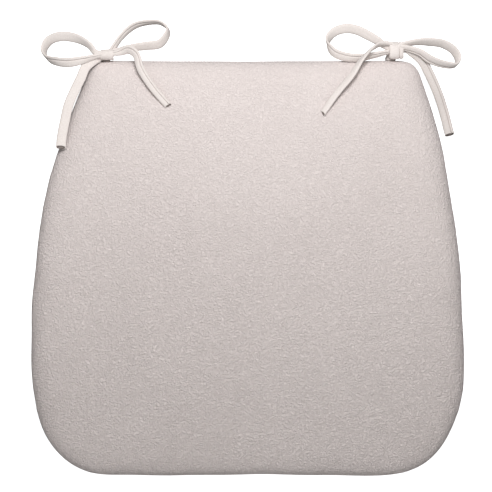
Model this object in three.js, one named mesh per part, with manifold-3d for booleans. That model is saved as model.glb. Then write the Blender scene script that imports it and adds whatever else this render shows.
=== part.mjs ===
// A tie-on chair seat pad: a foam slab in a zipped fabric cover, with a bow of two straps at each
// rear corner. Millimetres, +Z up. The origin is on the resting face, under the middle of the pad.
// The ties are at the rear, +Y, and the wide round edge is at the front, -Y.
import * as THREE from 'three';
import { mergeVertices } from 'three/addons/utils/BufferGeometryUtils.js';
import Module from 'manifold-3d';

// ---- Driving dimensions -------------------------------------------------------------------
const PAD_WIDTH = 430;            // across the widest line
const PAD_DEPTH = 412;            // rear edge to front edge
const PAD_THICKNESS = 40;
const REAR_FLAT = 295;            // straight stretch of the rear edge
const REAR_CORNER_RADIUS = 20;
const REAR_CORNER_TURN = 71;      // degrees that a rear corner turns through
const WIDEST_FROM_FRONT = 122;    // from the front edge to the widest line
const FRONT_FLAT = 267;           // nearly straight stretch of the front edge
const SIDE_PULL_REAR = 26;        // how far the side keeps its direction past the rear corner
const SIDE_PULL_WIDE = 180;       // how far it keeps straight behind the widest line
const CORNER_PULL_SIDE = 69;      // how far the front corner keeps straight past the widest line
const CORNER_PULL_FRONT = 59;     // how far it keeps straight beside the front flat

const FABRIC = 1.2;               // cover cloth
const GAP = 0.3;                  // clearance between pieces that touch
const TOP_EDGE_RADIUS = 15;       // the top panel rolls over the edge of the foam
const BOTTOM_EDGE_RADIUS = 5;
const TOP_SEAM_DROP = 1;          // from the end of the rolled edge down to the top seam
const BOTTOM_SEAM_HEIGHT = 5;     // band to bottom panel
const SEAM_THREAD = 0.8;

const ZIP_PANEL_LENGTH = 250;     // opening in the band that the zip and its two strips close
const ZIP_WINDOW = 9.4;           // between the two strips
const ZIP_TAPE = 0.8;             // thickness
const ZIP_TAPE_WIDTH = 6;         // each tape, coil to edge
const ZIP_TAPE_DEPTH = 2.2;       // outer face of the band to outer face of the tape
const ZIP_END_MARGIN = 3;         // strip end to tape end
const COIL_WIDTH = 1.55;          // each coil, across the zip
const COIL_THICKNESS = 2;
const STOP_LENGTH = 3;

const SLIDER_LENGTH = 14;
const SLIDER_WIDTH = 8.4;
const SLIDER_PLATE = 1.2;
const SLIDER_POST = 0.9;          // the post between the coils
const SLIDER_POST_LENGTH = 4;
const SLIDER_FLANGE = 1;
const BRIDGE_SPAN = 5.2;
const BRIDGE_WIDTH = 2;
const BRIDGE_WALL = 0.8;
const PULL_BAR = 1;
const PULL_CLEARANCE = 0.45;      // round the bar, under the bridge
const PULL_EYE = 3.2;             // from the bar's axis to the far end of the eye, inside
const PULL_LENGTH = 24;
const PULL_WIDTH = 5.2;
const PULL_RIM = 1;

const STRAP_WIDTH = 9;
const STRAP_THICKNESS = 3;
const TIE_FROM_CORNER = 4.5;      // strap root to the end of the rear flat
const CORE_WIDTH = 4;             // gathered strap inside a knot
const CORE_REACH = 5;             // how far the gathered strap shows beside a knot
const KNOT_BOTTOM = -8.3;         // from the top of the pad
const KNOT_TOP = 3;
const ROOT_IN_KNOT = 1;           // how far the wrapping strap's root reaches into the knot
const LOOP_STEPS = 34;            // sections along a loop
const LOOP_END_STEPS = 7;         // along its last stretch, into the knot
const TAIL_STEPS = 18;
const TACK_DEPTH = 2.2;           // out from the band
const TACK_THICKNESS = 0.6;

// ---- Places that follow from them ---------------------------------------------------------
const rearY = PAD_DEPTH / 2;
const topSeam = PAD_THICKNESS - TOP_EDGE_RADIUS - TOP_SEAM_DROP;
const zipZ = (topSeam + BOTTOM_SEAM_HEIGHT) / 2;
const seamHalf = SEAM_THREAD / 2 + GAP;
const bandBottom = BOTTOM_SEAM_HEIGHT + seamHalf;
const bandTop = topSeam - seamHalf;
const tapeFront = rearY - ZIP_TAPE_DEPTH;
const tapeMiddle = tapeFront - ZIP_TAPE / 2;
const tapeHalfLength = ZIP_PANEL_LENGTH / 2 - ZIP_END_MARGIN;
const coilInner = SLIDER_POST / 2 + GAP;
const coilOuter = coilInner + COIL_WIDTH;
const coilHalfLength = tapeHalfLength - STOP_LENGTH - GAP;
const plateGap = COIL_THICKNESS / 2 + GAP;
const sliderFront = tapeMiddle + plateGap + SLIDER_PLATE;
const sliderBack = tapeMiddle - plateGap - SLIDER_PLATE;
const sliderX = coilHalfLength - SLIDER_LENGTH / 2;
const pullAxisY = sliderFront + PULL_BAR / 2 + PULL_CLEARANCE;
const rootX = REAR_FLAT / 2 - TIE_FROM_CORNER;
const rootStep = STRAP_THICKNESS + GAP;

// ---- Tie routes ---------------------------------------------------------------------------
// Points are [x, y, z]: x from the root of that corner's straps, positive outwards, y from the
// rear edge, positive rearwards, and z from the top of the pad. Each bow has one strap that runs
// straight through the knot, "threaded", and one that wraps round it, "wrapping".
const BOWS = [
  {
    side: 'left',
    sign: -1,
    knot: { x: -3.5, y: 5, width: 14, depth: 9.4 },
    threaded: {
      name: 'tie_left_inner',
      level: 0.5,
      loop: [
        [7.5, 6.2, 0.5], [13.5, 13, 0.5], [27, 21, -4], [44, 24, -9], [56, 20, -13], [61, 10.5, -15],
        [56, 2, -10], [46, -2.5, -2], [33, -4.5, 3.6], [20, -2.5, 5], [7, 2, 0.5],
      ],
      tail: [
        [-14, 5.5, 0.5], [-18, 6.6, 0.5], [-25, 8.3, 3.6], [-33, 3, 7.5], [-38, -12, 9.6],
        [-49.5, -30, 8], [-66, -49, 3.8],
      ],
    },
    wrapping: {
      name: 'tie_left_outer',
      loop: [
        [-7, 7, -4.5], [-17.5, 22.5, -4.5], [-30, 34, -7], [-43, 38, -9], [-56, 38, -11],
        [-63.5, 31, -12], [-56, 17, -9], [-43, 14, -6], [-30, 12, -4.5], [-9, 7, -4.5],
      ],
      tail: [
        [1, 3, -4.5], [4, 1.8, -4.5], [11, -2, -2], [18.5, -8.5, 0.8], [24, -20, 1.8],
        [30.3, -31.4, 1.4], [36.5, -45.4, 1.2], [40.2, -63.3, 1.5], [42.5, -78, 1.9], [43, -90, 2.5],
      ],
    },
  },
  {
    side: 'right',
    sign: 1,
    knot: { x: 4.5, y: 9.5, width: 13, depth: 15.6 },
    threaded: {
      name: 'tie_right_outer',
      level: -4.5,
      loop: [
        [-6, 13, -4.5], [-12.6, 18, -4.5], [-24, 25, -6], [-35, 30.5, -8], [-46, 32, -9.5],
        [-57.5, 28, -10.5], [-63, 19, -10.5], [-57.5, 8, -7], [-46, 2.4, -3], [-32, 1.4, -2.5],
        [-18, 4, -4.2], [-6, 7, -4.5],
      ],
      tail: [
        [15, 9, -4.5], [18, 8, -4.5], [24, 5.2, -6], [31, -0.4, -9], [39, -13, -15], [48, -30, -23],
        [55, -47, -31], [62.4, -72, -37.6],
      ],
    },
    wrapping: {
      name: 'tie_right_inner',
      loop: [
        [7, 12, 0.5], [24, 16.4, 0.5], [38, 17, -2], [52, 15.7, -6], [63, 9.4, -9],
        [67, 2, -10.5], [64.5, -4.6, -9], [52, -4.6, -6], [38, -0.4, -2], [26.6, 6.6, 0.5], [7, 11, 0.5],
      ],
      tail: [
        [1, 13.4, 0.5], [-11, 14.5, 0.5], [-21, 8, 4.4], [-31, -3, 8], [-41, -19, 9.6],
        [-55, -35.5, 8], [-70, -56.5, 3.8],
      ],
    },
  },
];

// ---- Tools --------------------------------------------------------------------------------
const wasm = await Module();
wasm.setup();

function toSolid(geometry) {
  const bare = geometry.clone();
  bare.deleteAttribute('normal');
  bare.deleteAttribute('uv');
  const merged = mergeVertices(bare, 1e-4);
  return new wasm.Manifold(new wasm.Mesh({
    numProp: 3,
    vertProperties: new Float32Array(merged.attributes.position.array),
    triVerts: new Uint32Array(merged.index.array),
  }));
}

function toGeometry(solid) {
  const mesh = solid.getMesh();
  const geometry = new THREE.BufferGeometry();
  geometry.setAttribute('position', new THREE.BufferAttribute(new Float32Array(mesh.vertProperties), 3));
  geometry.setIndex(new THREE.BufferAttribute(new Uint32Array(mesh.triVerts), 1));
  geometry.computeVertexNormals();
  return geometry;
}

// A box between two corners.
function block(from, to) {
  const size = [0, 1, 2].map((i) => to[i] - from[i]);
  const geometry = new THREE.BoxGeometry(...size);
  geometry.translate(from[0] + size[0] / 2, from[1] + size[1] / 2, from[2] + size[2] / 2);
  return toSolid(geometry);
}

function join(solids) {
  return solids.reduce((whole, next) => whole.add(next));
}

// ---- Outline ------------------------------------------------------------------------------
// Right half, rear middle to front middle: corner arc, side curve, front corner curve.
function halfOutline() {
  const turn = THREE.MathUtils.degToRad(REAR_CORNER_TURN);
  const start = Math.PI / 2;
  const centre = [REAR_FLAT / 2, rearY - REAR_CORNER_RADIUS];
  const corner = new THREE.EllipseCurve(
    centre[0], centre[1], REAR_CORNER_RADIUS, REAR_CORNER_RADIUS, start, start - turn, true,
  ).getPoints(6);
  const end = corner[corner.length - 1];
  const along = new THREE.Vector2(Math.cos(turn), -Math.sin(turn));
  const wide = new THREE.Vector2(PAD_WIDTH / 2, -rearY + WIDEST_FROM_FRONT);
  const front = new THREE.Vector2(FRONT_FLAT / 2, -rearY);
  const side = new THREE.CubicBezierCurve(
    end,
    end.clone().addScaledVector(along, SIDE_PULL_REAR),
    wide.clone().add(new THREE.Vector2(0, SIDE_PULL_WIDE)),
    wide,
  ).getPoints(10);
  const frontCorner = new THREE.CubicBezierCurve(
    wide,
    wide.clone().add(new THREE.Vector2(0, -CORNER_PULL_SIDE)),
    front.clone().add(new THREE.Vector2(CORNER_PULL_FRONT, 0)),
    front,
  ).getPoints(12);
  return [...corner, ...side.slice(1), ...frontCorner.slice(1)];
}

const rightHalf = halfOutline();
const leftHalf = rightHalf.map((p) => new THREE.Vector2(-p.x, p.y)).reverse();
const outline = new THREE.Shape([...leftHalf, ...rightHalf]);

// The pad's outline moved in by inset, from bottom to top, with the edges rounded by radius.
function slab(inset, bottom, top, radius = 0) {
  const geometry = new THREE.ExtrudeGeometry(outline, {
    depth: top - bottom - 2 * radius,
    steps: 1,
    bevelEnabled: true,
    bevelThickness: radius,
    bevelSize: radius,
    bevelOffset: -(inset + radius),
    bevelSegments: radius > 0 ? 4 : 0,
  });
  geometry.translate(0, 0, bottom + radius);
  return toSolid(geometry);
}

// A closed belt of the outline, from one inset to a deeper one.
function belt(outer, inner, bottom, top) {
  return slab(outer, bottom, top).subtract(slab(inner, bottom - 1, top + 1));
}

// ---- Foam and cover -----------------------------------------------------------------------
function makeFoamCore() {
  const inset = FABRIC + GAP;
  const whole = slab(inset, inset, PAD_THICKNESS - inset, TOP_EDGE_RADIUS - inset);
  const half = ZIP_PANEL_LENGTH / 2 + GAP;
  const reach = SLIDER_WIDTH / 2 + ZIP_TAPE_WIDTH;
  const relief = block(
    [-half, sliderBack - GAP, zipZ - reach],
    [half, rearY + 1, zipZ + reach],
  );
  return whole.subtract(relief);
}

function makeTopPanel() {
  const below = PAD_THICKNESS - 3 * TOP_EDGE_RADIUS;
  const outer = slab(0, below, PAD_THICKNESS, TOP_EDGE_RADIUS);
  const inner = slab(FABRIC, below - FABRIC, PAD_THICKNESS - FABRIC, TOP_EDGE_RADIUS - FABRIC);
  const keep = slab(-1, topSeam + seamHalf, PAD_THICKNESS + 1);
  return outer.subtract(inner).intersect(keep);
}

function makeBottomPanel() {
  const above = 3 * BOTTOM_EDGE_RADIUS;
  const outer = slab(0, 0, above, BOTTOM_EDGE_RADIUS);
  const inner = slab(FABRIC, FABRIC, above + FABRIC, BOTTOM_EDGE_RADIUS - FABRIC);
  const keep = slab(-1, -1, BOTTOM_SEAM_HEIGHT - seamHalf);
  return outer.subtract(inner).intersect(keep);
}

function makeSideBand() {
  const half = ZIP_PANEL_LENGTH / 2 + GAP;
  const opening = block([-half, 0, bandBottom - 1], [half, rearY + 1, bandTop + 1]);
  return belt(0, FABRIC, bandBottom, bandTop).subtract(opening);
}

function makeRearStrip(bottom, top) {
  const half = ZIP_PANEL_LENGTH / 2;
  return block([-half, rearY - FABRIC, bottom], [half, rearY, top]);
}

function makeSeamThread(height) {
  const half = SEAM_THREAD / 2;
  return belt(GAP, GAP + SEAM_THREAD, height - half, height + half);
}

// ---- Zip ----------------------------------------------------------------------------------
// Both halves of the zip are the same, above and below its middle line: way is 1 or -1.
function acrossZip(way, near, far) {
  return [zipZ + Math.min(way * near, way * far), zipZ + Math.max(way * near, way * far)];
}

function makeTape(way) {
  const [low, high] = acrossZip(way, coilOuter + GAP, coilOuter + GAP + ZIP_TAPE_WIDTH);
  return block([-tapeHalfLength, tapeFront - ZIP_TAPE, low], [tapeHalfLength, tapeFront, high]);
}

function makeCoil(way) {
  const [low, high] = acrossZip(way, coilInner, coilOuter);
  const half = COIL_THICKNESS / 2;
  return block([-coilHalfLength, tapeMiddle - half, low], [coilHalfLength, tapeMiddle + half, high]);
}

function makeStop(way) {
  const half = COIL_THICKNESS / 2;
  const ends = [way * tapeHalfLength, way * (tapeHalfLength - STOP_LENGTH)].sort((a, b) => a - b);
  return block(
    [ends[0], tapeMiddle - half, zipZ - coilOuter],
    [ends[1], tapeMiddle + half, zipZ + coilOuter],
  );
}

// Two plates joined by a post between the coils, with flanges that hold the tapes in.
function makeSlider() {
  const halfLength = SLIDER_LENGTH / 2;
  const halfWidth = SLIDER_WIDTH / 2;
  const flangeInner = halfWidth - SLIDER_FLANGE;
  const tapeGap = ZIP_TAPE / 2 + GAP;
  const parts = [
    block([-halfLength, tapeMiddle + plateGap, -halfWidth], [halfLength, sliderFront, halfWidth]),
    block([-halfLength, sliderBack, -halfWidth], [halfLength, tapeMiddle - plateGap, halfWidth]),
    block(
      [halfLength - SLIDER_POST_LENGTH, sliderBack + SLIDER_PLATE / 2, -SLIDER_POST / 2],
      [halfLength, sliderFront - SLIDER_PLATE / 2, SLIDER_POST / 2],
    ),
  ];
  for (const way of [-1, 1]) {
    const edges = [way * flangeInner, way * halfWidth].sort((a, b) => a - b);
    parts.push(block(
      [-halfLength, tapeMiddle + tapeGap, edges[0]],
      [halfLength, sliderFront - SLIDER_PLATE / 2, edges[1]],
    ));
    parts.push(block(
      [-halfLength, sliderBack + SLIDER_PLATE / 2, edges[0]],
      [halfLength, tapeMiddle - tapeGap, edges[1]],
    ));
  }
  const underside = pullAxisY + PULL_BAR / 2 + PULL_CLEARANCE;
  const halfSpan = BRIDGE_SPAN / 2;
  const arch = block(
    [-halfSpan, sliderFront - SLIDER_PLATE / 2, -BRIDGE_WIDTH / 2],
    [halfSpan, underside + BRIDGE_WALL, BRIDGE_WIDTH / 2],
  );
  const under = block(
    [-halfSpan + BRIDGE_WALL, sliderFront, -BRIDGE_WIDTH],
    [halfSpan - BRIDGE_WALL, underside, BRIDGE_WIDTH],
  );
  return join(parts).add(arch.subtract(under)).translate([sliderX, 0, zipZ]);
}

// A flat tab with an eye at one end. It lies along the closed zip.
function makePull() {
  const halfWidth = PULL_WIDTH / 2;
  const outer = new THREE.Shape();
  const tip = new THREE.Vector2(-PULL_LENGTH + halfWidth, 0);
  outer.moveTo(PULL_BAR / 2, -halfWidth);
  outer.lineTo(PULL_BAR / 2, halfWidth);
  outer.lineTo(tip.x, halfWidth);
  outer.absarc(tip.x, tip.y, halfWidth, Math.PI / 2, (3 * Math.PI) / 2, false);
  const eye = new THREE.Path();
  eye.moveTo(-PULL_BAR / 2, -halfWidth + PULL_RIM);
  eye.lineTo(-PULL_EYE - PULL_BAR / 2, -halfWidth + PULL_RIM);
  eye.lineTo(-PULL_EYE - PULL_BAR / 2, halfWidth - PULL_RIM);
  eye.lineTo(-PULL_BAR / 2, halfWidth - PULL_RIM);
  outer.holes.push(eye);
  const tab = new THREE.ExtrudeGeometry(outer, { depth: PULL_BAR, bevelEnabled: false, curveSegments: 6 });
  tab.rotateX(Math.PI / 2);
  tab.translate(sliderX, pullAxisY + PULL_BAR / 2, zipZ);
  return toSolid(tab);
}

// ---- Ties ---------------------------------------------------------------------------------
// Section of a strap: thickness across x, width across y, with eight corners.
function strapSection() {
  const halfThick = STRAP_THICKNESS / 2;
  const halfWide = STRAP_WIDTH / 2;
  const round = STRAP_THICKNESS / 3;
  return new THREE.Shape([
    new THREE.Vector2(-halfThick, -halfWide + round),
    new THREE.Vector2(-halfThick + round, -halfWide),
    new THREE.Vector2(halfThick - round, -halfWide),
    new THREE.Vector2(halfThick, -halfWide + round),
    new THREE.Vector2(halfThick, halfWide - round),
    new THREE.Vector2(halfThick - round, halfWide),
    new THREE.Vector2(-halfThick + round, halfWide),
    new THREE.Vector2(-halfThick, halfWide - round),
  ]);
}

function strap(bow, points, steps) {
  const path = new THREE.CatmullRomCurve3(points.map((p) => new THREE.Vector3(
    bow.sign * (rootX + p[0]), rearY + p[1], PAD_THICKNESS + p[2],
  )), false, 'centripetal');
  return toSolid(new THREE.ExtrudeGeometry(strapSection(), { steps, extrudePath: path }));
}

// A loop is swept in two runs that share a stretch, so that its two ends merge cleanly at the knot.
function strapLoop(bow, points) {
  return join([strap(bow, points.slice(0, -1), LOOP_STEPS), strap(bow, points.slice(-3), LOOP_END_STEPS)]);
}

// A box at one bow, from corners in that bow's own directions.
function bowBlock(bow, from, to) {
  const xs = [bow.sign * (rootX + from[0]), bow.sign * (rootX + to[0])].sort((a, b) => a - b);
  return block(
    [xs[0], rearY + from[1], PAD_THICKNESS + from[2]],
    [xs[1], rearY + to[1], PAD_THICKNESS + to[2]],
  );
}

// How far behind the edge a root rises. Order 0 is nearer the pad, and order 1 is behind and below it.
function rootBack(bow, order) {
  const knotFront = bow.knot.y - bow.knot.depth / 2;
  return Math.max(GAP, knotFront + GAP) + order * rootStep + STRAP_THICKNESS;
}

// The root comes out of the top seam, lies back and turns up behind the edge into the knot.
function root(bow, order, top, grow) {
  const half = STRAP_WIDTH / 2 + grow;
  const near = rootBack(bow, order) - STRAP_THICKNESS;
  const seam = topSeam - PAD_THICKNESS - order * rootStep;
  const lying = bowBlock(
    bow,
    [-half, GAP - grow, seam - grow],
    [half, near + STRAP_THICKNESS + grow, seam + STRAP_THICKNESS + grow],
  );
  const rising = bowBlock(
    bow,
    [-half, near - grow, seam - grow],
    [half, near + STRAP_THICKNESS + grow, top + grow],
  );
  return lying.add(rising);
}

function makeThreadedStrap(bow) {
  const { loop, tail } = bow.threaded;
  return join([strapLoop(bow, loop), strap(bow, tail, TAIL_STEPS), threadedInKnot(bow, 0)]);
}

// The part of the threaded strap that is inside the knot, grown by a clearance.
function threadedInKnot(bow, grow) {
  const { level } = bow.threaded;
  const half = bow.knot.width / 2 + CORE_REACH + grow;
  const core = bowBlock(
    bow,
    [bow.knot.x - half, bow.knot.y - CORE_WIDTH / 2 - grow, level - STRAP_THICKNESS / 2 - grow],
    [bow.knot.x + half, bow.knot.y + CORE_WIDTH / 2 + grow, level + STRAP_THICKNESS / 2 + grow],
  );
  return core.add(root(bow, 1, level, grow));
}

function makeWrappingStrap(bow) {
  const { loop, tail } = bow.wrapping;
  const knot = bowBlock(
    bow,
    [bow.knot.x - bow.knot.width / 2, bow.knot.y - bow.knot.depth / 2, KNOT_BOTTOM],
    [bow.knot.x + bow.knot.width / 2, bow.knot.y + bow.knot.depth / 2, KNOT_TOP],
  );
  const whole = join([
    knot,
    root(bow, 0, KNOT_BOTTOM + ROOT_IN_KNOT, 0),
    strapLoop(bow, loop),
    strap(bow, tail, TAIL_STEPS),
  ]);
  return whole.subtract(threadedInKnot(bow, GAP));
}

// A bar of stitches under both roots, where they leave the seam.
function makeTack(bow) {
  const half = STRAP_WIDTH / 2;
  const top = topSeam - PAD_THICKNESS - rootStep - GAP;
  return bowBlock(bow, [-half, GAP, top - TACK_THICKNESS], [half, GAP + TACK_DEPTH, top]);
}

// ---- Assembly -----------------------------------------------------------------------------
const MATERIALS = {
  foam: { color: 0xf2e9cf, roughness: 0.95, metalness: 0 },
  cloth: { color: 0xd5ccc6, roughness: 0.95, metalness: 0 },
  gripCloth: { color: 0xc9c3bb, roughness: 0.85, metalness: 0 },
  strap: { color: 0xe6e0da, roughness: 0.92, metalness: 0 },
  thread: { color: 0xcfc6bf, roughness: 0.8, metalness: 0 },
  zipTape: { color: 0xcbc2ba, roughness: 0.9, metalness: 0 },
  coil: { color: 0xd8d1c8, roughness: 0.45, metalness: 0 },
  metal: { color: 0xb9b4ac, roughness: 0.35, metalness: 1 },
};

const group = new THREE.Group();

function addPart(name, solid, material) {
  const mesh = new THREE.Mesh(toGeometry(solid), new THREE.MeshStandardMaterial(MATERIALS[material]));
  mesh.name = name;
  group.add(mesh);
}

addPart('foam_core', makeFoamCore(), 'foam');
addPart('top_panel', makeTopPanel(), 'cloth');
addPart('side_band', makeSideBand(), 'cloth');
addPart('rear_strip_upper', makeRearStrip(zipZ + ZIP_WINDOW / 2, bandTop), 'cloth');
addPart('rear_strip_lower', makeRearStrip(bandBottom, zipZ - ZIP_WINDOW / 2), 'cloth');
addPart('bottom_panel', makeBottomPanel(), 'gripCloth');
addPart('top_seam_thread', makeSeamThread(topSeam), 'thread');
addPart('bottom_seam_thread', makeSeamThread(BOTTOM_SEAM_HEIGHT), 'thread');
for (const [word, way] of [['upper', 1], ['lower', -1]]) {
  addPart(`zip_tape_${word}`, makeTape(way), 'zipTape');
  addPart(`zip_coil_${word}`, makeCoil(way), 'coil');
}
addPart('zip_closed_stop', makeStop(1), 'coil');
addPart('zip_open_stop', makeStop(-1), 'coil');
addPart('zip_slider', makeSlider(), 'metal');
addPart('zip_pull', makePull(), 'metal');
for (const bow of BOWS) {
  addPart(bow.threaded.name, makeThreadedStrap(bow), 'strap');
  addPart(bow.wrapping.name, makeWrappingStrap(bow), 'strap');
  addPart(`tie_tack_${bow.side}`, makeTack(bow), 'thread');
}

export default group;
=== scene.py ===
# %% [markdown]
# A tie-on seat pad is a sewn thing: a foam slab inside a cover of three cloth panels, closed at the
# back by a zip, and tied to the chair by two pairs of cloth straps. The frame below holds its plain
# working shapes. This lesson dresses them: first the camera, the light and the tied bows, then the
# padded body and its panels, then the seams, the zip and the grip dots under it.

# %% Frame
import math

import bmesh
import bpy
import numpy as np
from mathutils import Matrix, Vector


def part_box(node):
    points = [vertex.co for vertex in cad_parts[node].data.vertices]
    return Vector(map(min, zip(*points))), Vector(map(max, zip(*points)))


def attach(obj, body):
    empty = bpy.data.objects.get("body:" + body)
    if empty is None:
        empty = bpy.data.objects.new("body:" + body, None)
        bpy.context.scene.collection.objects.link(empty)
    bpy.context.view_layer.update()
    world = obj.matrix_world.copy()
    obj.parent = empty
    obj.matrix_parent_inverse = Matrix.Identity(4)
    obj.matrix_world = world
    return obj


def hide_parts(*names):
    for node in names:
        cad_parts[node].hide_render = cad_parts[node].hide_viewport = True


MM = 0.001
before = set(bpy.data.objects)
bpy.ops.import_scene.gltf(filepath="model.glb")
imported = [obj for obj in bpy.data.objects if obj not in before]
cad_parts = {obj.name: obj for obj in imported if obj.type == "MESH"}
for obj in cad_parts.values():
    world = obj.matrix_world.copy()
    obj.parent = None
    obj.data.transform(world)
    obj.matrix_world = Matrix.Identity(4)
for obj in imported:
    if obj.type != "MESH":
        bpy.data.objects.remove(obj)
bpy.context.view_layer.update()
scene = bpy.context.scene
scene.view_settings.view_transform = "Standard"
bpy.ops.object.select_all(action="DESELECT")

# %% [markdown]
# The pad is looked at from nearly straight above, as it would lie on a table under a copy stand. A
# long lens keeps its sides almost parallel. The view is aimed a little behind the middle of the pad,
# because the bows need room at the back.

# %% Camera
CAMERA_ELEVATION = math.radians(87)
CAMERA_DISTANCE = 1.367
CAMERA_LENS = 100
camera_target = Vector((-0.0015, 0.0215, 0.016))
camera_back = Vector((0, -math.cos(CAMERA_ELEVATION), math.sin(CAMERA_ELEVATION)))
bpy.ops.object.camera_add(location=camera_target + camera_back * CAMERA_DISTANCE)
camera = bpy.context.object
camera.rotation_mode = "QUATERNION"
camera.rotation_quaternion = (-camera_back).to_track_quat("-Z", "Y")
camera.data.lens = CAMERA_LENS
camera.data.clip_start = 0.05
scene.camera = camera

# %% [markdown]
# One soft lamp hangs above and behind the pad, so the light falls off towards the front and rakes
# across the grain of the cloth. A second, weak one stands low in front and lifts the front band. The
# sky is brightest overhead and dark at the horizon, which lets the rolled sides fall into shade.

# %% Light
def add_soft_light(name, place, aim, size, power):
    bpy.ops.object.light_add(type="AREA", location=place)
    lamp = bpy.context.object
    lamp.name = name
    lamp.data.size = size
    lamp.data.energy = power
    direction = Vector(aim) - Vector(place)
    lamp.rotation_mode = "QUATERNION"
    lamp.rotation_quaternion = direction.to_track_quat("-Z", "Y")
    return lamp


add_soft_light("rear_softbox", (0.01, 0.43, 0.96), (0, 0.02, 0), 0.28, 7.7)
add_soft_light("front_fill", (0, -1.1, 0.2), (0, -0.2, 0.02), 0.5, 2.4)
world = bpy.data.worlds.new("sky")
scene.world = world
world.use_nodes = True
sky_tree = world.node_tree
direction = sky_tree.nodes.new("ShaderNodeTexCoord")
height = sky_tree.nodes.new("ShaderNodeSeparateXYZ")
sky = sky_tree.nodes.new("ShaderNodeValToRGB")
sky.color_ramp.elements[0].position = 0.05
sky.color_ramp.elements[0].color = (0.06, 0.06, 0.062, 1)
sky.color_ramp.elements[1].position = 0.9
sky.color_ramp.elements[1].color = (1.0, 0.99, 0.98, 1)
sky_tree.links.new(direction.outputs["Generated"], height.inputs[0])
sky_tree.links.new(height.outputs["Z"], sky.inputs[0])
sky_tree.links.new(sky.outputs["Color"], sky_tree.nodes["Background"].inputs["Color"])
sky_tree.nodes["Background"].inputs["Strength"].default_value = 0.6

# %% [markdown]
# A material is a small sum. The class below wraps one output of a node, so that a sum on values is
# written as a plain expression, and the other nodes all come from one method.

# %% Material maths
class Wire:
    def __init__(self, finish, socket):
        self.finish = finish
        self.socket = socket

    def maths(self, operation, first, second):
        return self.finish.node("ShaderNodeMath", {"operation": operation}, {0: first, 1: second})

    def __add__(self, other):
        return self.maths("ADD", self, other)

    __radd__ = __add__

    def __sub__(self, other):
        return self.maths("SUBTRACT", self, other)

    def __rsub__(self, other):
        return self.maths("SUBTRACT", other, self)

    def __mul__(self, other):
        return self.maths("MULTIPLY", self, other)

    __rmul__ = __mul__


class Finish:
    """One material: its shader, and a method that adds any node to it."""

    def __init__(self, name, roughness, metallic=0.0):
        self.material = bpy.data.materials.new(name)
        self.material.use_nodes = True
        self.tree = self.material.node_tree
        self.shader = self.tree.nodes["Principled BSDF"]
        self.shader.inputs["Roughness"].default_value = roughness
        self.shader.inputs["Metallic"].default_value = metallic
        self.place = self.node("ShaderNodeTexCoord", {}, {}, "Object")

    def node(self, kind, settings, inputs, output=0):
        made = self.tree.nodes.new(kind)
        for key, value in settings.items():
            if key == "stops":
                ramp = made.color_ramp
                for stop, (position, colour) in zip(ramp.elements, value):
                    stop.position = position
                    stop.color = colour
            else:
                setattr(made, key, value)
        for key, value in inputs.items():
            if isinstance(value, Wire):
                self.tree.links.new(value.socket, made.inputs[key])
            else:
                made.inputs[key].default_value = value
        return Wire(self, made.outputs[output])

    def noise(self, size, detail=2.0, roughness=0.5, warp=0.0, place=None):
        """Soft random values from 0 to 1, with features about size across."""
        settings = {"noise_dimensions": "3D"}
        inputs = {
            "Vector": place or self.place,
            "Scale": 1 / size,
            "Detail": detail,
            "Roughness": roughness,
            "Distortion": warp,
        }
        return self.node("ShaderNodeTexNoise", settings, inputs)

    def mix(self, amount, first, second):
        settings = {"data_type": "RGBA"}
        return self.node("ShaderNodeMix", settings, {0: amount, 6: first, 7: second}, 2)

    def spread(self, value, low, high):
        """Stretches the values from low to high over 0 to 1."""
        inputs = {"Value": value, "From Min": low, "From Max": high}
        return self.node("ShaderNodeMapRange", {}, inputs)

    def axis(self, letter, place=None):
        """One axis of a place, the object's own by default."""
        return self.node("ShaderNodeSeparateXYZ", {}, {0: place or self.place}, letter)

    def wave(self, value, pitch):
        """A sine wave of 0 to 1, which repeats every pitch."""
        turned = self.node("ShaderNodeMath", {"operation": "SINE"}, {0: value * (2 * math.pi / pitch)})
        return turned * 0.5 + 0.5

    def feed(self, socket, wire):
        self.tree.links.new(wire.socket, self.shader.inputs[socket])

    def bump(self, height, depth):
        inputs = {"Strength": 1.0, "Distance": depth, "Height": height}
        self.feed("Normal", self.node("ShaderNodeBump", {}, inputs))


def colour(red, green, blue):
    """A colour given as it looks on a screen, 0 to 255, as the linear value that a shader needs."""
    linear = []
    for part in (red, green, blue):
        part = part / 255
        part = part / 12.92 if part <= 0.04045 else ((part + 0.055) / 1.055) ** 2.4
        linear.append(part)
    return (*linear, 1.0)


# %% [markdown]
# The cover is a brushed crepe: a dense cloth whose threads crinkle into short worm-like ridges about
# two millimetres apart, with a soft fibre grain between them. Two warped noises make the ridges, and
# a third, ten times finer, makes the fibres. The colour varies a little with the ridges and drifts
# slowly over the panel. The back of the pad is pressed smoother than the front, where the nap stands
# up, so the ridges are scaled along the pad.

# %% Cover cloth
RIDGE = 0.0017
FIBRE = 0.0004


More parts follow.
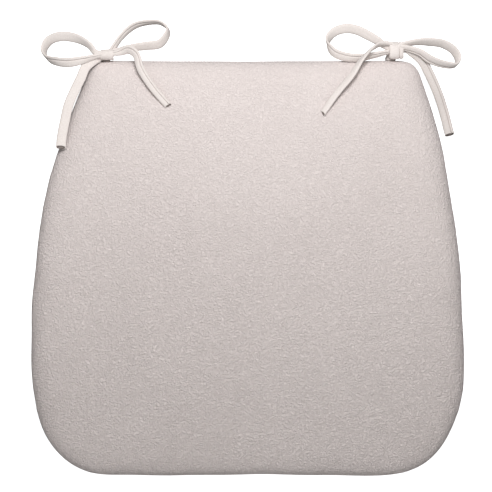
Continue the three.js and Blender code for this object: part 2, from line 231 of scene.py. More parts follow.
def make_cover_cloth(name, light, dark, ridge_depth):
    cloth = Finish(name, 0.94)
    ridges = cloth.noise(RIDGE, 2.0, 0.6, 0.55)
    tufts = cloth.noise(RIDGE * 2.1, 1.0, 0.5, 0.4)
    fibres = cloth.noise(FIBRE, 2.0, 0.6)
    drift = cloth.spread(cloth.noise(0.09, 2.0, 0.5), 0.3, 0.7)
    crest = cloth.spread(ridges, 0.33, 0.67)
    height = crest * 0.66 + tufts * 0.24 + fibres * 0.1
    tone = crest * 0.55 + fibres * 0.25 + drift * 0.2
    cloth.feed("Base Color", cloth.mix(tone, dark, light))
    cloth.feed("Roughness", 0.98 - crest * 0.08)
    frontward = cloth.spread(cloth.axis("Y"), pad_high.y, pad_low.y)
    cloth.bump(height * (0.8 + frontward * 1.9), ridge_depth)
    cloth.shader.inputs["Sheen Weight"].default_value = 0.12
    cloth.shader.inputs["Sheen Roughness"].default_value = 0.6
    cloth.shader.inputs["Specular IOR Level"].default_value = 0.25
    return cloth.material


pad_low = Vector((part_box("top_panel")[0].x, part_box("top_panel")[0].y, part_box("bottom_panel")[0].z))
pad_high = Vector(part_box("top_panel")[1])
pad_middle = (pad_low + pad_high) / 2
cover_cloth = make_cover_cloth("crepe_cloth", colour(233, 223, 220), colour(214, 203, 200), 0.00105)
print("cover cloth: ridges", RIDGE / MM, "mm apart")

# %% [markdown]
# The straps are tubes of the same cloth, turned inside out and pressed flat, so the grain is pulled
# smooth and only fine ridges are left along them. Inside the cut mouth of a tube the cloth lies in
# shade, and that shade is painted: the faces there get a second, dark material.

# %% Strap cloth
SEAM_SHARE = 6 / 25
STRAP_GIRTH = 0.021


def make_strap_cloth():
    cloth = Finish("strap_cloth", 0.9)
    along = cloth.node("ShaderNodeUVMap", {"uv_map": "strap"}, {}, "UV")
    stretched = cloth.node("ShaderNodeMapping", {}, {"Vector": along, "Scale": (1, STRAP_GIRTH, 1)})
    ridges = cloth.noise(0.0012, 2.0, 0.6, 0.5, stretched)
    fibres = cloth.noise(0.0003, 2.0, 0.6)
    drift = cloth.noise(0.02, 1.0, 0.5)
    tone = cloth.spread(ridges * 0.6 + fibres * 0.2 + drift * 0.2, 0.3, 0.7)
    around = cloth.axis("Y", along)
    offset = cloth.node("ShaderNodeMath", {"operation": "ABSOLUTE"}, {0: around - SEAM_SHARE})
    seam = 1 - cloth.spread(offset, 0.25 / 25, 1.1 / 25)
    plain = cloth.mix(tone, colour(215, 206, 201), colour(232, 225, 221))
    cloth.feed("Base Color", cloth.mix(seam * 0.8, plain, colour(168, 155, 150)))
    cloth.bump(ridges * 0.7 + fibres * 0.3, 0.00022)
    cloth.shader.inputs["Sheen Weight"].default_value = 0.1
    cloth.shader.inputs["Sheen Roughness"].default_value = 0.6
    cloth.shader.inputs["Specular IOR Level"].default_value = 0.25
    return cloth.material


# Painted shade: a dark cloth colour for the inside of a tube's mouth, where shade falls. Only its frayed
# grain is the cloth's own.
def make_painted_mouth_shade():
    raw = Finish("painted_mouth_shade_cloth", 0.95)
    frayed = raw.noise(0.0005, 2.0, 0.6)
    raw.feed("Base Color", raw.mix(frayed, colour(92, 82, 78), colour(150, 139, 134)))
    raw.bump(frayed, 0.0002)
    return raw.material


strap_cloth = make_strap_cloth()
painted_mouth_shade = make_painted_mouth_shade()

# %% [markdown]
# Each bow is two straps. One runs straight through the knot: it comes out of the seam, makes its
# loop on one side and leaves as a tail on the other side. The second wraps round it once and then
# does the same the other way round. The points below are the middle line of each strap: x outwards
# from its root, y behind the rear edge and z from the top of the pad. A strap that bends keeps its
# width square to the bend, so each loop has a few directions that its width points in.

# %% Strap routes
STRAP_WIDTH = 9.8 * MM
STRAP_THICKNESS = 3.0 * MM
pad_top = pad_high.z
rear_edge = pad_high.y
top_seam = (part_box("top_seam_thread")[0].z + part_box("top_seam_thread")[1].z) / 2
root_x = {}
for side in ("left", "right"):
    tack_low, tack_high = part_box(f"tie_tack_{side}")
    root_x[side] = (tack_low.x + tack_high.x) / 2
print("strap roots at x mm:", {side: round(x / MM, 1) for side, x in root_x.items()})

BOWS = {
    "left": {
        "knot": (-3.5, 4.4),
        "half": (4.0, 4.2),
        "threaded": {
            "name": "tie_left_inner",
            "level": 0.5,
            "loop": [
                (7.5, 6.2, 0.5), (13.5, 13, 0.5), (27, 21, -4), (44, 24, -9), (56, 20, -13),
                (61, 10.5, -15), (56, 2, -10), (46, -2.5, -2), (33, -4.5, 3.6), (20, -2.5, 5),
                (7, 2, 0.5),
            ],
            "tail": [
                (-14, 5.5, 0.5), (-18, 6.6, 0.5), (-25, 8.3, 3.6), (-33, 3, 7.5), (-38, -12, 9.6),
                (-49.5, -30, 8), (-66, -49, 3.8),
            ],
            "loop_width": [
                (0, 0.5, 0.86), (0, 0.8, 0.6), (0, 1, 0.15), (0, 0.7, 0.7), (0.2, 0, 1),
                (0, 0.7, 0.7), (0, 1, 0.25), (0, 0.8, 0.6), (0, 0.5, 0.86),
            ],
            "tail_width": [(0, 0.8, 0.6), (-0.3, 0.9, 0.35), (-0.8, 0.55, 0.2), (-0.84, 0.5, 0.1)],
            "tail_scale": [1, 0.95, 0.8, 0.74],
        },
        "wrapping": {
            "name": "tie_left_outer",
            "level": -4.5,
            "loop": [
                (-7, 7, -4.5), (-17.5, 22.5, -4.5), (-30, 34, -7), (-43, 38, -9), (-56, 38, -11),
                (-63.5, 31, -12), (-56, 17, -9), (-43, 14, -6), (-30, 12, -4.5), (-9, 7, -4.5),
            ],
            "tail": [
                (1, 3, -4.5), (4, 1.8, -4.5), (10.5, -2, -2), (17, -8.5, 0.8), (21.8, -20, 1.8),
                (27.4, -31.4, 1.4), (33.4, -45.4, 1.2), (37.4, -63.3, 1.5), (40, -78, 1.9),
                (41, -90, 2.5),
            ],
            "loop_width": [(0.5, 0.2, 0.84), (0.45, 0.1, 0.89), (0.7, 0.3, 0.65), (0.3, 0.8, 0.5)],
            "tail_width": [(0.5, 0.7, 0.5), (0.8, 0.6, 0), (1, 0.1, 0), (1, 0, 0)],
        },
    },
    "right": {
        "knot": (4.5, 8.6),
        "half": (7.4, 4.2),
        "threaded": {
            "name": "tie_right_outer",
            "level": -4.5,
            "loop": [
                (-6, 13, -4.5), (-12.6, 18, -4.5), (-24, 25, -6), (-35, 30.5, -8), (-46, 32, -9.5),
                (-57.5, 28, -10.5), (-63, 19, -10.5), (-57.5, 8, -7), (-46, 2.4, -3),
                (-32, 1.4, -2.5), (-18, 4, -4.2), (-6, 7, -4.5),
            ],
            "tail": [
                (15, 9, -4.5), (18, 8, -4.5), (24, 5.2, -6), (31, -0.4, -9), (39, -13, -15),
                (48, -30, -23), (55, -47, -31), (62.4, -72, -37.6),
            ],
            "loop_width": [(0.3, 0.85, 0.4), (0.2, 0.9, 0.4), (0.6, 0.5, 0.6), (0.2, 0.6, 0.75)],
            "tail_width": [(0, 0.8, 0.5), (0.7, 0.6, 0.4), (0.95, 0.3, 0.1)],
        },
        "wrapping": {
            "name": "tie_right_inner",
            "level": 0.5,
            "loop": [
                (7, 12, 0.5), (24, 16.4, 0.5), (38, 17, -2), (52, 15.7, -6), (63, 9.4, -9),
                (67, 2, -10.5), (64.5, -4.6, -9), (52, -4.6, -6), (38, -0.4, -2),
                (26.6, 6.6, 0.5), (7, 11, 0.5),
            ],
            "tail": [
                (1, 13.4, 0.5), (-11, 14.5, 0.5), (-21, 8, 4.4), (-31, -3, 8), (-41, -19, 9.6),
                (-55, -35.5, 8), (-70, -56.5, 3.8),
            ],
            "loop_width": [(0, 0.6, 0.8), (0, 0.7, 0.7), (0.2, 0.6, 0.77), (0, 0.7, 0.7)],
            "tail_width": [(0, 0.6, 0.8), (0.5, 0.2, 0.85), (0.75, -0.3, 0.6), (0.8, -0.4, 0.45)],
            "tail_scale": [1, 0.9, 0.78, 0.7],
        },
    },
}


# %% [markdown]
# The routes are joined into one smooth line per strap. A centripetal spline runs through all of the
# points without looping back between close ones, and it carries the width directions along with it.

# %% Smooth lines
def smooth_line(points, step):
    """A spline through points, of any number of columns, sampled about every step along it."""
    points = np.array(points, float)
    ends = np.vstack([2 * points[0] - points[1], points, 2 * points[-1] - points[-2]])
    sampled = []
    for i in range(1, len(ends) - 2):
        a, b, c, d = ends[i - 1:i + 3]
        knots = [0.0]
        for first, second in ((a, b), (b, c), (c, d)):
            gap = np.linalg.norm(second[:3] - first[:3])
            knots.append(knots[-1] + max(gap, 1e-6) ** 0.5)
        t0, t1, t2, t3 = knots
        count = max(2, round(np.linalg.norm(c[:3] - b[:3]) / step))
        for t in np.linspace(t1, t2, count, endpoint=False):
            ab = ((t1 - t) * a + (t - t0) * b) / (t1 - t0)
            bc = ((t2 - t) * b + (t - t1) * c) / (t2 - t1)
            cd = ((t3 - t) * c + (t - t2) * d) / (t3 - t2)
            abc = ((t2 - t) * ab + (t - t0) * bc) / (t2 - t0)
            bcd = ((t3 - t) * bc + (t - t1) * cd) / (t3 - t1)
            sampled.append(((t2 - t) * abc + (t - t1) * bcd) / (t2 - t1))
    sampled.append(ends[-2])
    return np.array(sampled)


def spread_keys(keys, count):
    """count rows, running evenly through the rows of keys."""
    keys = np.array(keys, float)
    places = np.linspace(0, len(keys) - 1, count)
    low = np.minimum(places.astype(int), len(keys) - 2)
    share = (places - low)[:, None]
    return keys[low] * (1 - share) + keys[low + 1] * share


# %% [markdown]
# Inside the knot a strap is gathered to less than half its width. The wrapping strap first goes
# round the others, from the seam out behind the knot, over its top and down in front, and then turns
# in under them. What is inside is hidden by that turn.

# %% Knots
GATHERED = 0.42
FULL = 1.0
SPREAD_ON_KNOT = 1.42
KNOT_TURN = (-70, -35, 0, 35, 65, 90, 115, 145, 180, 215, 245)
KNOT_CREEP = 0.8
KNOT_LEVEL = -2.6


def knot_turn(bow):
    """One turn round the knot, as rows of place, width direction and width scale."""
    x, y = bow["knot"]
    half_y, half_z = bow["half"]
    rows = []
    for degrees in KNOT_TURN:
        angle = math.radians(degrees)
        share = (degrees - KNOT_TURN[0]) / (KNOT_TURN[-1] - KNOT_TURN[0])
        rows.append((
            x + KNOT_CREEP * (share - 0.5),
            y + half_y * math.cos(angle),
            KNOT_LEVEL + half_z * math.sin(angle),
            1, 0, 0, SPREAD_ON_KNOT,
        ))
    return rows


def strap_rows(bow, kind):
    """Every point of a strap from root to end: place, width direction and width scale, in mm."""
    strap = bow[kind]
    x, y = bow["knot"]
    level = strap["level"]
    seam = (top_seam - pad_top) / MM
    if kind == "threaded":
        root = [(0, 0.5, seam - 3.3, 1, 0, 0, FULL), (0, 3.5, seam - 2.8, 1, 0, 0, FULL)]
        root.append((x * 0.5, y, seam + 2, 1, 0, 0, 0.8))
        root.append((x, y, level - 4, 1, 0.2, 0, GATHERED))
    else:
        root = [(0, 0.5, seam, 1, 0, 0, FULL), (x * 0.5, y - 1, seam + 2.5, 1, 0, 0, FULL)]
        root += knot_turn(bow)
    loop = strap["loop"]
    toward = 1 if loop[0][0] > x else -1
    through = [(x - toward * 1.5, y, level, 0, 1, 0.2, GATHERED)]
    widths = spread_keys(strap["loop_width"], len(loop))
    rows = root + [(x + toward * 2, y + 0.6, level, 0, 1, 0.2, GATHERED)]
    for i, (point, width) in enumerate(zip(loop, widths)):
        scale = 0.62 if i in (0, len(loop) - 1) else 0.86 if i in (1, len(loop) - 2) else FULL
        rows.append((*point, *width, scale))
    rows += through
    tail = strap["tail"]
    widths = spread_keys(strap["tail_width"], len(tail))
    scales = np.interp(np.linspace(0, 3, len(tail)), range(4), strap.get("tail_scale", [FULL] * 4))
    for i, (point, width, rolled) in enumerate(zip(tail, widths, scales)):
        scale = 0.6 if i == 0 else 0.8 if i == 1 else rolled
        rows.append((*point, *width, scale))
    return rows


# %% [markdown]
# A pressed tube isn't a flat ribbon: its two edges are folds, its faces swell a little, and the seam
# that closed it runs along one face as a narrow valley with a step beside it. That is the section
# that is swept along each line. At the bare end the tube is cut a little aslant, so its mouth shows
# from above, with the turned-in seam allowance inside it as a second, smaller roll.

# %% Strap section
def strap_section():
    """Points round the tube: across is -0.5 to 0.5 of the width, up is -0.5 to 0.5 of the thickness."""
    rows = []
    for across in (0.5, 0.485, 0.44, 0.36, 0.27, 0.23, 0.2, 0.17, 0.13, 0, -0.15, -0.3, -0.42, -0.48):
        up = 0.5 * (1 - (abs(across) / 0.5) ** 3.2) ** 0.5
        rows.append((across, up - 0.34 * math.exp(-(((across - SEAM_PLACE) / 0.035) ** 2))))
    for across in (-0.5, -0.485, -0.44, -0.36, -0.24, -0.1, 0.05, 0.2, 0.32, 0.42, 0.48):
        rows.append((across, -0.5 * (1 - (abs(across) / 0.5) ** 3.2) ** 0.5))
    return rows


SEAM_PLACE = 0.2
SECTION = strap_section()
print("strap section:", len(SECTION), "points, with the seam at", SEAM_SHARE, "of the way round")


WIDTH_PULL = 0.22


def width_frames(line):
    """Tangent, width and normal of each row: the width follows its hint, but only turns slowly."""
    places = line[:, :3]
    tangents = np.gradient(places, axis=0)
    tangents /= np.linalg.norm(tangents, axis=1)[:, None]
    widths = []
    last = None
    for tangent, hint in zip(tangents, line[:, 3:6]):
        width = hint - tangent * np.dot(hint, tangent)
        if last is not None:
            carried = last - tangent * np.dot(last, tangent)
            carried /= np.linalg.norm(carried)
            if np.dot(width, carried) < 0:
                width = -width
            pull = WIDTH_PULL * min(1.0, np.linalg.norm(width) * 1.4)
            width = carried * (1 - pull) + width * pull
        width /= np.linalg.norm(width)
        widths.append(width)
        last = width
    widths = np.array(widths)
    for _ in range(3):
        middle = (widths[:-2] + widths[1:-1] * 2 + widths[2:]) / 4
        widths[1:-1] = middle
        widths -= tangents * np.sum(widths * tangents, axis=1)[:, None]
        widths /= np.linalg.norm(widths, axis=1)[:, None]
    return tangents, widths, np.cross(tangents, widths)


# Each ring of the mouth: its share of the width, its share of the thickness, and how far out in mm.
END_RINGS = [
    (0.96, 0.92, 0.15), (0.84, 0.7, 0.15), (0.78, 0.6, -2.4), (0.56, 0.42, -2.4), (0.5, 0.34, -0.6),
]
END_SLANT = 3.0 * MM
MOUTH_RING = 1


def sweep_strap(name, line):
    """A closed mesh tube along the sampled rows, in metres, and its ring centres."""
    tangents, widths, normals = width_frames(line)
    mesh = bpy.data.meshes.new(name)
    shaper = bmesh.new()
    uv_layer = shaper.loops.layers.uv.new("strap")
    rings = []
    centres = []
    run = [0.0]
    for a, b in zip(line[:-1, :3], line[1:, :3]):
        run.append(run[-1] + float(np.linalg.norm(b - a)))
    last = len(line) - 1
    facing_up = 1 if normals[last][2] > 0 else -1

    def add_ring(centre, width, normal, wide, thick, cut=0.0):
        ring = []
        for across, up in SECTION:
            place = centre + width * across * wide + normal * up * thick
            place = place - tangents[last] * (up * facing_up + 0.5) * cut * END_SLANT
            ring.append(shaper.verts.new(Vector(place)))
        return ring

    for i, row in enumerate(line):
        wide = STRAP_WIDTH * row[6]
        thick = STRAP_THICKNESS * (0.75 + 0.25 / max(row[6], 0.5))
        cut = {0: 1.0, 1: 0.5, 2: 0.2}.get(last - i, 0.0)
        rings.append(add_ring(row[:3], widths[i], normals[i], wide, thick, cut))
        centres.append(Vector(row[:3]))
    for across_share, up_share, depth in END_RINGS:
        centre = line[last, :3] + tangents[last] * depth * MM
        wide = STRAP_WIDTH * across_share * line[last, 6]
        thick = STRAP_THICKNESS * up_share
        rings.append(add_ring(centre, widths[last], normals[last], wide, thick, 1.0))
        run.append(run[-1] + 0.5 * MM)
    count = len(SECTION)
    for i in range(len(rings) - 1):
        for j in range(count):
            k = (j + 1) % count
            face = shaper.faces.new((rings[i][j], rings[i + 1][j], rings[i + 1][k], rings[i][k]))
            corners = ((i, j), (i + 1, j), (i + 1, j + 1), (i, j + 1))
            for loop, (along, around) in zip(face.loops, corners):
                loop[uv_layer].uv = (run[along], around / count)
            face.smooth = True
            # Faces inside the mouth, and the end cap, get the dark material, which is painted shade.
            face.material_index = 1 if i > last + MOUTH_RING else 0
    shaper.faces.new(rings[0])
    shaper.faces.new(reversed(rings[-1])).material_index = 1
    bmesh.ops.recalc_face_normals(shaper, faces=shaper.faces)
    shaper.to_mesh(mesh)
    shaper.free()
    strap = bpy.data.objects.new(name, mesh)
    scene.collection.objects.link(strap)
    return strap, centres


# %% [markdown]
# Now each route becomes a strap. The right bow's routes point to the right from their root and the
# left bow's to the left, so the side only changes a sign. The length of every strap is measured
# along its middle line and printed.

# %% Make the four straps
STRAP_STEP = 1.6 * MM
straps = {}
for side, bow in BOWS.items():
    outward = 1 if side == "right" else -1
    for kind in ("threaded", "wrapping"):
        rows = np.array(strap_rows(bow, kind))
        rows[:, 0] = root_x[side] + rows[:, 0] * outward * MM
        rows[:, 1] = rear_edge + rows[:, 1] * MM
        rows[:, 2] = pad_top + rows[:, 2] * MM
        rows[:, 3] *= outward
        line = smooth_line(rows, STRAP_STEP)
        name = bow[kind]["name"]
        strap, centres = sweep_strap(name + "_strap", line)
        length = sum((b - a).length for a, b in zip(centres[:-1], centres[1:]))
        straps[name] = strap
        strap.data.materials.append(strap_cloth)
        # The second material is painted shade for the inside of the tube's mouth.
        strap.data.materials.append(painted_mouth_shade)
        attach(strap, "pad")
        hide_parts(name)
        print(name, "is", round(length / MM), "mm long,", len(strap.data.polygons), "faces")

# %% [markdown]
# The body of the pad is soft, so its form is grown, not drawn. The plain top and bottom panels are
# copied into one mesh and wrapped in a convex skin, which joins them across the band. The skin is
# drawn in a little, because a filled cover swells, and is then remeshed into even squares that cloth
# can bend between.

# %% Pad skin
def select_only(piece):
    bpy.ops.object.select_all(action="DESELECT")
    piece.select_set(True)
    bpy.context.view_layer.objects.active = piece


def copy_piece(source, name):
    piece = source.copy()
    piece.data = source.data.copy()
    piece.name = name
    piece.data.name = name
    piece.parent = None
    for key in list(piece.keys()):
        del piece[key]
    piece.data.materials.clear()
    scene.collection.objects.link(piece)
    return piece


def edit_all(piece):
    select_only(piece)
    bpy.ops.object.mode_set(mode="EDIT")
    bpy.ops.mesh.select_all(action="SELECT")


def leave_edit():
    bpy.ops.object.mode_set(mode="OBJECT")


def apply_modifier(piece, kind, **settings):
    select_only(piece)
    modifier = piece.modifiers.new(kind.lower(), kind)
    for key, value in settings.items():
        setattr(modifier, key, value)
    bpy.ops.object.modifier_apply(modifier=modifier.name)


def read_places(piece):
    flat = np.empty(len(piece.data.vertices) * 3)
    piece.data.vertices.foreach_get("co", flat)
    return flat.reshape(-1, 3)


def write_places(piece, places):
    piece.data.vertices.foreach_set("co", np.asarray(places, float).ravel())
    piece.data.update()


VOXEL = 4.6 * MM
DRAWN_IN = 2.2 * MM
DRAWN_DOWN = 1.2 * MM
form = copy_piece(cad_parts["top_panel"], "pad_form")
lower = copy_piece(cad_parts["bottom_panel"], "pad_form_lower")
select_only(form)
lower.select_set(True)
bpy.ops.object.join()
edit_all(form)
bpy.ops.mesh.remove_doubles(threshold=0.01 * MM)
bpy.ops.mesh.convex_hull()
leave_edit()
apply_modifier(form, "REMESH", mode="VOXEL", voxel_size=VOXEL)
places = read_places(form)
half = np.array(pad_high - pad_low) / 2
shrink = 1 - DRAWN_IN / half
shrink[2] = 1 - DRAWN_DOWN / half[2]
write_places(form, np.array(pad_middle) + (places - np.array(pad_middle)) * shrink)
cad_form_places = read_places(form)
print("pad skin:", len(form.data.vertices), "points")

# %% [markdown]
# Cloth with air pressure swells the skin the way a foam slab fills a sewn cover: it crowns the top
# and rounds the edges. The foam holds the faces back, so no point may travel further than a cap,
# which is larger in the middle of the top than at the edges or on the flat underside.

# %% Swell the pad
PRESSURE = 4.0
FRAMES = 20
EDGE_TRAVEL = 2.0 * MM
CROWN_TRAVEL = 4.8 * MM
UNDER_TRAVEL = 1.0 * MM
UNDER_HEIGHT = 3 * MM
CLOTH_LEVEL = 0.6 * MM
REAR_FULLNESS = 1.5 * MM
select_only(form)
swelling = form.modifiers.new("swell", "CLOTH")
swelling.settings.quality = 6
swelling.settings.mass = 0.3
swelling.settings.tension_stiffness = 25
swelling.settings.compression_stiffness = 25
swelling.settings.bending_stiffness = 2
swelling.settings.use_pressure = True
swelling.settings.uniform_pressure_force = PRESSURE
swelling.settings.effector_weights.gravity = 0
swelling.collision_settings.use_collision = False
swelling.point_cache.frame_start = 1
swelling.point_cache.frame_end = FRAMES
for step in range(1, FRAMES + 1):
    scene.frame_set(step)
bpy.ops.object.modifier_apply(modifier=swelling.name)
scene.frame_set(1)

swollen = read_places(form)
moved = swollen - cad_form_places
across = np.abs(cad_form_places[:, 0] / pad_high.x)
along = np.abs((cad_form_places[:, 1] - pad_middle.y) / (pad_high.y - pad_middle.y))
inside = np.clip(1.25 - np.maximum(across, along), 0, 1)
cap = EDGE_TRAVEL + CROWN_TRAVEL * inside
cap[cad_form_places[:, 2] < UNDER_HEIGHT] = UNDER_TRAVEL
size = np.linalg.norm(moved, axis=1)
print("swelling before the cap, mm:", round(float(size.max()) / MM, 1))
keep = np.where(size > 1e-9, np.tanh(size / cap) * cap / np.maximum(size, 1e-9), 1)
places = cad_form_places + moved * keep[:, None]
places[:, 2] = np.maximum(places[:, 2], CLOTH_LEVEL)
write_places(form, places)
apply_modifier(form, "CORRECTIVE_SMOOTH", iterations=6, use_only_smooth=True)
apply_modifier(form, "SUBSURF", levels=1, render_levels=1)
places = read_places(form)
grown_low, grown_high = places.min(0), places.max(0)
full_high = np.array(pad_high) + np.array((0, REAR_FULLNESS, 0))
for axis in (0, 1):
    share = (places[:, axis] - grown_low[axis]) / (grown_high[axis] - grown_low[axis])
    places[:, axis] = pad_low[axis] + share * (full_high[axis] - pad_low[axis])
write_places(form, places)
form_low, form_high = (Vector(read_places(form).min(0)), Vector(read_places(form).max(0)))
print("swollen pad mm:", [round(v / MM, 1) for v in form_high - form_low])

# %% [markdown]
# Sewn cloth is never quite even. The left rear corner was turned in a little further than the right
# one, and the seams pull the edge in and out by less than a millimetre. Two smooth pushes at the
# rear corners and a slow sideways wave do this. The stretch behind the zip stays straight.

# %% Hand-sewn outline
CORNER_TURNED = 6.4 * MM
TURN_START = 60 * MM
CORNER_START = 122 * MM
CORNER_BLEND = 30 * MM
# Each wave: turns per metre in radians, where it starts, and its height in mm.
SIDE_WAVES = ((47, 0.6, 0.5), (101, 2.1, 0.22))
FRONT_WAVES = ((39, 1.0, 0.45), (93, 0.0, 0.2))


def seam_wave(along, waves):
    return sum(np.sin(along * rate + start) * height for rate, start, height in waves) * MM


def sewn_shift(places):
    """The sideways move of every place, in metres."""
    x, y = places[:, 0], places[:, 1]
    rearward = np.clip((y - TURN_START) / (rear_edge - TURN_START), 0, 1) ** 0.8
    outer = np.clip((np.abs(x) - CORNER_START) / CORNER_BLEND, 0, 1)
    outer = outer * outer * (3 - 2 * outer)
    shift = np.zeros_like(places)
    shift[:, 0] = CORNER_TURNED * rearward * outer
    at_sides = np.clip(np.abs(x) / 0.2, 0, 1) ** 4 * np.clip((0.19 - y) / 0.03, 0, 1)
    shift[:, 0] += seam_wave(y, SIDE_WAVES) * at_sides
    at_front = np.clip((-y - 0.17) / 0.03, 0, 1)
    shift[:, 1] = seam_wave(x, FRONT_WAVES) * at_front
    return shift


places = read_places(form)
write_places(form, places + sewn_shift(places))

# %% [markdown]
# The panels are cut out of the form where the seams run, and each gets the thickness of its cloth
# inwards. Next to a seam the cloth dips in, because the stitches hold it there, and along the zip the
# back is pressed flat. Both are made before the cut, so the panels still meet.

# %% Seams
CLOTH = 1.2 * MM
SEAM_GAP = 0.3 * MM
bottom_seam = (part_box("bottom_seam_thread")[0].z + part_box("bottom_seam_thread")[1].z) / 2
SEAM_DIP = 1.0 * MM
SEAM_REACH = 2.2 * MM
BOTTOM_DIP_SHARE = 0.7


def outward_normals(piece):
    normals = np.empty(len(piece.data.vertices) * 3)
    piece.data.vertex_normals.foreach_get("vector", normals)
    return normals.reshape(-1, 3)


def dip_at_seams(piece):
    places = read_places(piece)
    normals = outward_normals(piece)
    flat = normals * np.array([1, 1, 0])
    depth = np.exp(-(((places[:, 2] - top_seam) / SEAM_REACH) ** 2))
    depth += BOTTOM_DIP_SHARE * np.exp(-(((places[:, 2] - bottom_seam) / SEAM_REACH) ** 2))
    write_places(piece, places - flat * (depth * SEAM_DIP)[:, None])


def cut_across(piece, height, keep_above):
    edit_all(piece)
    bpy.ops.mesh.bisect(
        plane_co=(0, 0, height), plane_no=(0, 0, 1),
        clear_inner=keep_above, clear_outer=not keep_above,
    )
    leave_edit()


ZIP_PRESS = 1.7 * MM
ZIP_PRESS_REACH = 7.5 * MM
ZIP_PRESS_END = 148 * MM
ZIP_PRESS_FADE = 10 * MM
zip_height = (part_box("rear_strip_upper")[0].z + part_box("rear_strip_lower")[1].z) / 2


def press_at_zip(piece):
    """The back is sewn down flat along the zip, a little past both of its ends."""
    places = read_places(piece)
    fade = np.clip((ZIP_PRESS_END - np.abs(places[:, 0])) / ZIP_PRESS_FADE, 0, 1)
    dent = ZIP_PRESS * np.exp(-(((places[:, 2] - zip_height) / ZIP_PRESS_REACH) ** 4))
    limit = rear_edge + REAR_FULLNESS - (REAR_FULLNESS * 0.6 + dent) * fade
    behind = places[:, 1] > limit
    places[behind, 1] = limit[behind]
    write_places(piece, places)


dip_at_seams(form)
press_at_zip(form)
print("seams at mm:", round(top_seam / MM, 1), round(bottom_seam / MM, 1))

# %% [markdown]
# The top panel is everything above the top seam. It is cut from a copy of the form, and a small gap
# is left for the seam. The same finishing steps serve every other panel.

# %% Cut the panels
def finish_panel(piece, node, material):
    apply_modifier(piece, "SOLIDIFY", thickness=CLOTH, offset=-1, use_even_offset=False)
    select_only(piece)
    bpy.ops.object.shade_smooth_by_angle(angle=math.radians(50))
    piece.data.materials.append(material)
    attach(piece, "pad")
    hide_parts(node)
    print(piece.name, "has", len(piece.data.polygons), "faces")


top_cloth = copy_piece(form, "top_cloth")
cut_across(top_cloth, top_seam + SEAM_GAP, True)
finish_panel(top_cloth, "top_panel", cover_cloth)

# %% [markdown]
# The underside is a plainer cloth with rows of small raised dots that keep the pad from sliding. The
# cloth part of it is cut from the same form, and the dots come later.

# %% Underside
WEAVE = 1.1 * MM


def make_grip_cloth():
    cloth = Finish("grip_cloth", 0.92)
    weave = cloth.wave(cloth.axis("X"), WEAVE) * cloth.wave(cloth.axis("Y"), WEAVE)
    fibres = cloth.noise(0.0004, 2.0, 0.6)
    drift = cloth.noise(0.05, 2.0, 0.5)
    tone = cloth.spread(weave * 0.4 + fibres * 0.3 + drift * 0.3, 0.2, 0.8)
    cloth.feed("Base Color", cloth.mix(tone, colour(196, 188, 182), colour(216, 209, 203)))
    cloth.bump(weave * 0.7 + fibres * 0.3, 0.0002)
    cloth.shader.inputs["Specular IOR Level"].default_value = 0.25
    return cloth.material


grip_cloth = make_grip_cloth()
under_cloth = copy_piece(form, "under_cloth")
cut_across(under_cloth, bottom_seam - SEAM_GAP, False)
finish_panel(under_cloth, "bottom_panel", grip_cloth)

# %% [markdown]
# The band runs round the sides and the front, between the two seams. At the back it stops on both
# sides of the zip, where two narrow strips take its place above and below the opening, and meet at
# both ends to cover the stops. All three are cut from the same form, so they sit flush with the
# panels.

# %% Band and rear strips
upper_strip_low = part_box("rear_strip_upper")[0]
lower_strip_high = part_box("rear_strip_lower")[1]
ZIP_HALF = float(upper_strip_low.x) * -1
zip_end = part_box("zip_closed_stop")[0].x + 0.4 * MM


def cut_side(piece, x):
    edit_all(piece)
    bpy.ops.mesh.bisect(plane_co=(x, 0, 0), plane_no=(1, 0, 0))
    leave_edit()


def delete_faces(piece, test):
    """Deletes the faces whose centre passes the test."""
    edit_all(piece)
    bpy.ops.mesh.select_all(action="DESELECT")
    leave_edit()
    for face in piece.data.polygons:
        face.select = bool(test(face.center))
    select_only(piece)
    bpy.ops.object.mode_set(mode="EDIT")
    bpy.ops.mesh.select_mode(type="FACE")
    bpy.ops.mesh.delete(type="FACE")
    leave_edit()


def at_zip(place, half):
    return abs(place.x) < half and place.y > pad_high.y - 30 * MM


band = copy_piece(form, "band_cloth")
cut_across(band, top_seam - SEAM_GAP, False)
cut_across(band, bottom_seam + SEAM_GAP, True)
for x in (-ZIP_HALF - SEAM_GAP, ZIP_HALF + SEAM_GAP):
    cut_side(band, x)
delete_faces(band, lambda place: at_zip(place, ZIP_HALF + SEAM_GAP))
finish_panel(band, "side_band", cover_cloth)


def cut_level(piece, height):
    edit_all(piece)
    bpy.ops.mesh.bisect(plane_co=(0, 0, height), plane_no=(0, 0, 1))
    leave_edit()


def in_zip_window(place):
    return abs(place.x) < zip_end and lower_strip_high.z < place.z < upper_strip_low.z


for word, low, high in (
    ("upper", zip_height + 0.15 * MM, top_seam - SEAM_GAP),
    ("lower", bottom_seam + SEAM_GAP, zip_height - 0.15 * MM),
):
    strip = copy_piece(form, f"zip_strip_{word}")
    cut_across(strip, high, False)
    cut_across(strip, low, True)
    cut_level(strip, upper_strip_low.z if word == "upper" else lower_strip_high.z)
    for x in (-ZIP_HALF, -zip_end, zip_end, ZIP_HALF):
        cut_side(strip, x)
    delete_faces(strip, lambda place: not at_zip(place, ZIP_HALF))
    delete_faces(strip, in_zip_window)
    finish_panel(strip, f"rear_strip_{word}", cover_cloth)

# %% [markdown]
# Inside the cover is one slab of foam. It is the same form again, drawn in past the cloth, and cut
# flat at the back to leave room for the zip. Nobody sees it until the zip is opened, but a part of a
# real pad is missing without it. Cut foam is a mass of small open cells.

# %% Foam
FOAM_INSET = CLOTH + 0.9 * MM
FOAM_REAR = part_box("zip_slider")[0].y - 1.2 * MM


